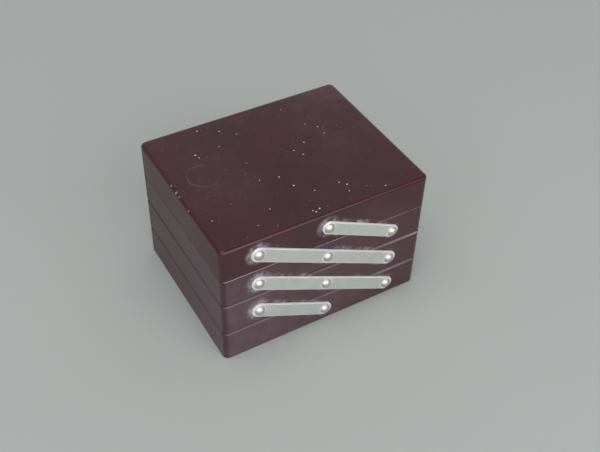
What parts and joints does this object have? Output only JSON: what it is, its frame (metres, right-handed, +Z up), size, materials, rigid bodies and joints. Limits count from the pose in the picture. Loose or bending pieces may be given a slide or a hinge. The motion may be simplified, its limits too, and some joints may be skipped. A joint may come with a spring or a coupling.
{
  "type": "staircase-opening tray case",
  "caption": "Small moulded case of stacked trays under a lid, carried by riveted flat links on both long sides so that the tiers swing up and over like a staircase.",
  "frame": {"origin": "middle of the underside of the base tray, with the case shut", "axes": "+X along the case towards the side it opens to, +Y across it, +Z up"},
  "size_m": [0.11, 0.0946, 0.0713],
  "materials": {
    "moulding": "polished dark red-brown phenolic",
    "link": "satin, brushed along the bar",
    "rivet": "bright, round-headed",
    "washer": "plain flat"
  },
  "bodies": {
    "base_tray": {"base_tray": "moulding", "front_rivet_base_middle": "rivet", "front_washer_base_middle": "washer", "front_rivet_base_right": "rivet", "front_washer_base_right": "washer", "rear_rivet_base_middle": "rivet", "rear_washer_base_middle": "washer", "rear_rivet_base_right": "rivet", "rear_washer_base_right": "washer"},
    "lower_tray": {"lower_tray": "moulding", "front_rivet_lower_left": "rivet", "front_washer_lower_left": "washer", "front_rivet_lower_middle": "rivet", "front_washer_lower_middle": "washer", "front_rivet_lower_right": "rivet", "front_washer_lower_right": "washer", "rear_rivet_lower_left": "rivet", "rear_washer_lower_left": "washer", "rear_rivet_lower_middle": "rivet", "rear_washer_lower_middle": "washer", "rear_rivet_lower_right": "rivet", "rear_washer_lower_right": "washer"},
    "upper_tray": {"upper_tray": "moulding", "front_rivet_upper_left": "rivet", "front_washer_upper_left": "washer", "front_rivet_upper_middle": "rivet", "front_washer_upper_middle": "washer", "front_rivet_upper_right": "rivet", "front_washer_upper_right": "washer", "rear_rivet_upper_left": "rivet", "rear_washer_upper_left": "washer", "rear_rivet_upper_middle": "rivet", "rear_washer_upper_middle": "washer", "rear_rivet_upper_right": "rivet", "rear_washer_upper_right": "washer"},
    "lid": {"lid": "moulding", "front_rivet_lid_left": "rivet", "front_washer_lid_left": "washer", "front_rivet_lid_middle": "rivet", "front_washer_lid_middle": "washer", "rear_rivet_lid_left": "rivet", "rear_washer_lid_left": "washer", "rear_rivet_lid_middle": "rivet", "rear_washer_lid_middle": "washer"},
    "front_upper_short_link": {"front_upper_short_link": "link"},
    "front_upper_long_link": {"front_upper_long_link": "link"},
    "front_lower_long_link": {"front_lower_long_link": "link"},
    "front_lower_short_link": {"front_lower_short_link": "link"},
    "rear_upper_short_link": {"rear_upper_short_link": "link"},
    "rear_upper_long_link": {"rear_upper_long_link": "link"},
    "rear_lower_long_link": {"rear_lower_long_link": "link"},
    "rear_lower_short_link": {"rear_lower_short_link": "link"}
  },
  "joints": [
    {"name": "unfold", "type": "hinge", "parent": "base_tray", "child": "front_lower_long_link", "pos_m": [0.0357, 0, 0.00875], "axis": [0, 1, 0], "range_deg": [0, 126.55]},
    {"name": "lower_tray_pivot", "type": "hinge", "parent": "front_lower_long_link", "child": "lower_tray", "pos_m": [-0.00045, 0, 0.02695], "axis": [0, 1, 0], "range_deg": [-126.55, 0]},
    {"name": "upper_tray_pivot", "type": "hinge", "parent": "front_lower_long_link", "child": "upper_tray", "pos_m": [-0.0366, 0, 0.04515], "axis": [0, 1, 0], "range_deg": [-126.55, 0]},
    {"name": "front_upper_long_link_pivot", "type": "hinge", "parent": "lower_tray", "child": "front_upper_long_link", "pos_m": [0.0357, 0, 0.02695], "axis": [0, 1, 0], "range_deg": [0, 126.55]},
    {"name": "lid_pivot", "type": "hinge", "parent": "front_upper_long_link", "child": "lid", "pos_m": [-0.0366, 0, 0.06335], "axis": [0, 1, 0], "range_deg": [-126.55, 0]},
    {"name": "front_lower_short_link_pivot", "type": "hinge", "parent": "base_tray", "child": "front_lower_short_link", "pos_m": [-0.00045, 0, 0.00875], "axis": [0, 1, 0], "range_deg": [0, 126.55]},
    {"name": "front_upper_short_link_pivot", "type": "hinge", "parent": "upper_tray", "child": "front_upper_short_link", "pos_m": [0.0357, 0, 0.04515], "axis": [0, 1, 0], "range_deg": [0, 126.55]},
    {"name": "rear_lower_long_link_pivot", "type": "hinge", "parent": "base_tray", "child": "rear_lower_long_link", "pos_m": [0.0357, 0, 0.00875], "axis": [0, 1, 0], "range_deg": [0, 126.55]},
    {"name": "rear_lower_short_link_pivot", "type": "hinge", "parent": "base_tray", "child": "rear_lower_short_link", "pos_m": [-0.00045, 0, 0.00875], "axis": [0, 1, 0], "range_deg": [0, 126.55]},
    {"name": "rear_upper_long_link_pivot", "type": "hinge", "parent": "lower_tray", "child": "rear_upper_long_link", "pos_m": [0.0357, 0, 0.02695], "axis": [0, 1, 0], "range_deg": [0, 126.55]},
    {"name": "rear_upper_short_link_pivot", "type": "hinge", "parent": "upper_tray", "child": "rear_upper_short_link", "pos_m": [0.0357, 0, 0.04515], "axis": [0, 1, 0], "range_deg": [0, 126.55]}
  ],
  "couplings": [
    {"joint": "lower_tray_pivot", "follows": "unfold", "ratio": -1},
    {"joint": "upper_tray_pivot", "follows": "unfold", "ratio": -1},
    {"joint": "front_upper_long_link_pivot", "follows": "unfold", "ratio": 1},
    {"joint": "lid_pivot", "follows": "unfold", "ratio": -1},
    {"joint": "front_lower_short_link_pivot", "follows": "unfold", "ratio": 1},
    {"joint": "front_upper_short_link_pivot", "follows": "unfold", "ratio": 1},
    {"joint": "rear_lower_long_link_pivot", "follows": "unfold", "ratio": 1},
    {"joint": "rear_lower_short_link_pivot", "follows": "unfold", "ratio": 1},
    {"joint": "rear_upper_long_link_pivot", "follows": "unfold", "ratio": 1},
    {"joint": "rear_upper_short_link_pivot", "follows": "unfold", "ratio": 1}
  ]
}
